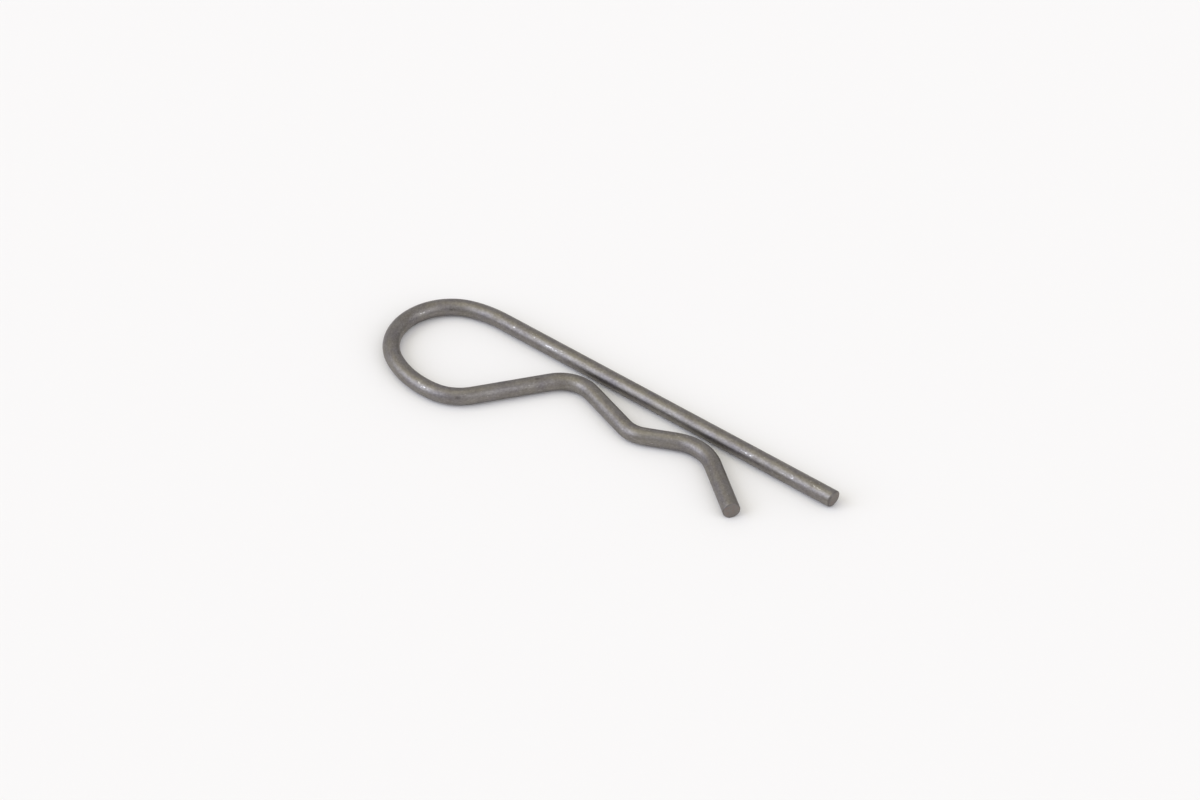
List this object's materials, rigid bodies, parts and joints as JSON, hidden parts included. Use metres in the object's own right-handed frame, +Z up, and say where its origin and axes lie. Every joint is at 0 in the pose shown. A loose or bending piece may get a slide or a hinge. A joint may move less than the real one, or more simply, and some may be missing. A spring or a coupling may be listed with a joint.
{
  "type": "hitch pin clip",
  "caption": "R-shaped locking pin of round spring wire: a straight leg, a drop-shaped loop to pull it by, and a wavy bent leg that snaps over a shaft.",
  "frame": {"origin": "on the ground under the middle of the pin's box, as it lies flat on its side", "axes": "+X along the straight leg, from the loop to its cut end; +Y from the bent leg to the straight leg; +Z up, square to the flat shape"},
  "size_m": [0.1146, 0.0328, 0.004],
  "materials": {
    "spring_steel": "dull zinc-plated drawn wire, satin"
  },
  "bodies": {
    "root": {"clip_wire": "spring_steel"}
  },
  "joints": []
}
